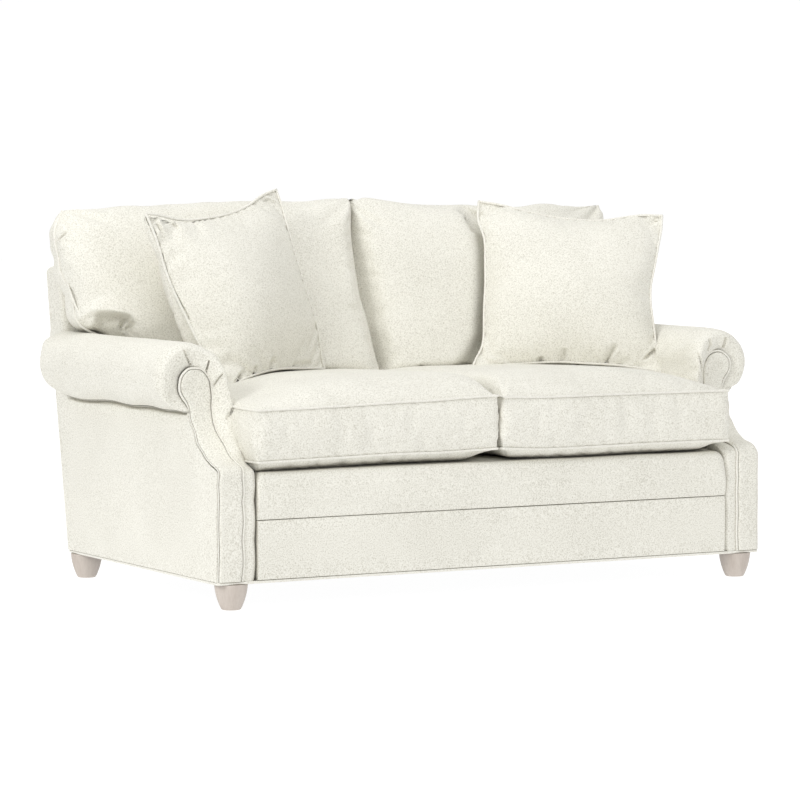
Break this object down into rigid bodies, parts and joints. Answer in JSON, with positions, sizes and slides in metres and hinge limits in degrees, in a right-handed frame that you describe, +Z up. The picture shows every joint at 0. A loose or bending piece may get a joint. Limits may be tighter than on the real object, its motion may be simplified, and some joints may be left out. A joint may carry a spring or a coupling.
{
  "type": "loveseat",
  "caption": "Roll-arm loveseat with a raked back, loose boxed seat cushions, loose back cushions, scatter pillows, sinuous springs and tapered round feet.",
  "frame": {"origin": "middle of the overall box, on the floor under the feet", "axes": "+Z up, +Y towards the outside back, +X towards the arm on the viewer's right as seen from the front"},
  "size_m": [1.69, 0.997, 0.9767],
  "materials": {
    "timber": "sawn hardwood, unfinished",
    "whitewashed_wood": "whitewashed, matt",
    "spring_steel": "drawn wire",
    "cover_fabric": "woven, warm off-white",
    "cushion_fabric": "woven, warm off-white",
    "pillow_fabric": "woven, warm off-white",
    "welt_fabric": "bias-cut piping of the cover fabric",
    "deck_cloth": "plain lining",
    "dust_cloth": "black non-woven"
  },
  "bodies": {
    "frame": {"front_rail": "timber", "rear_rail": "timber", "centre_brace": "timber", "side_rail_left": "timber", "side_rail_right": "timber", "corner_block_front_left": "timber", "corner_block_front_right": "timber", "corner_block_rear_left": "timber", "corner_block_rear_right": "timber", "arm_front_post_left": "timber", "arm_front_post_right": "timber", "arm_top_rail_left": "timber", "arm_top_rail_right": "timber", "back_post_left": "timber", "back_post_right": "timber", "back_top_rail": "timber", "back_lower_rail": "timber", "back_centre_post": "timber", "seat_spring_1": "spring_steel", "seat_spring_2": "spring_steel", "seat_spring_3": "spring_steel", "seat_spring_4": "spring_steel", "seat_spring_5": "spring_steel", "seat_spring_6": "spring_steel", "back_spring_1": "spring_steel", "back_spring_2": "spring_steel", "back_spring_3": "spring_steel", "back_spring_4": "spring_steel", "foot_front_left": "whitewashed_wood", "foot_front_right": "whitewashed_wood", "foot_rear_left": "whitewashed_wood", "foot_rear_right": "whitewashed_wood", "foot_bolt_front_left": "spring_steel", "foot_bolt_front_right": "spring_steel", "foot_bolt_rear_left": "spring_steel", "foot_bolt_rear_right": "spring_steel", "arm_pad_left": "cover_fabric", "arm_pad_right": "cover_fabric", "arm_facing_left": "cover_fabric", "arm_facing_right": "cover_fabric", "arm_welt_left": "welt_fabric", "arm_welt_right": "welt_fabric", "outer_arm_left": "cover_fabric", "outer_arm_right": "cover_fabric", "seat_deck": "deck_cloth", "front_border_lower": "cover_fabric", "front_border_upper": "cover_fabric", "inside_back": "cover_fabric", "outside_back": "cover_fabric", "base_welt": "welt_fabric", "dust_cover": "dust_cloth"},
    "seat_cushion_left": {"seat_cushion_left": "cushion_fabric"},
    "seat_cushion_right": {"seat_cushion_right": "cushion_fabric"},
    "back_cushion_left": {"back_cushion_left": "cushion_fabric"},
    "back_cushion_right": {"back_cushion_right": "cushion_fabric"},
    "pillow_left": {"pillow_left": "pillow_fabric"},
    "pillow_right": {"pillow_right": "pillow_fabric"}
  },
  "joints": [
    {"name": "seat_cushion_left_slide", "type": "slide", "parent": "frame", "child": "seat_cushion_left", "axis": [0, -1, 0], "range_m": [0, 0.86]},
    {"name": "seat_cushion_right_slide", "type": "slide", "parent": "frame", "child": "seat_cushion_right", "axis": [0, -1, 0], "range_m": [0, 0.86]},
    {"name": "back_cushion_left_slide", "type": "slide", "parent": "frame", "child": "back_cushion_left", "axis": [0, 0.1805, 0.9836], "range_m": [0, 0.5]},
    {"name": "back_cushion_right_slide", "type": "slide", "parent": "frame", "child": "back_cushion_right", "axis": [0, 0.1805, 0.9836], "range_m": [0, 0.5]},
    {"name": "pillow_left_slide", "type": "slide", "parent": "back_cushion_left", "child": "pillow_left", "axis": [0, -0.944, 0.33], "range_m": [0, 0.4]},
    {"name": "pillow_right_slide", "type": "slide", "parent": "back_cushion_right", "child": "pillow_right", "axis": [0, -0.944, 0.33], "range_m": [0, 0.4]}
  ]
}
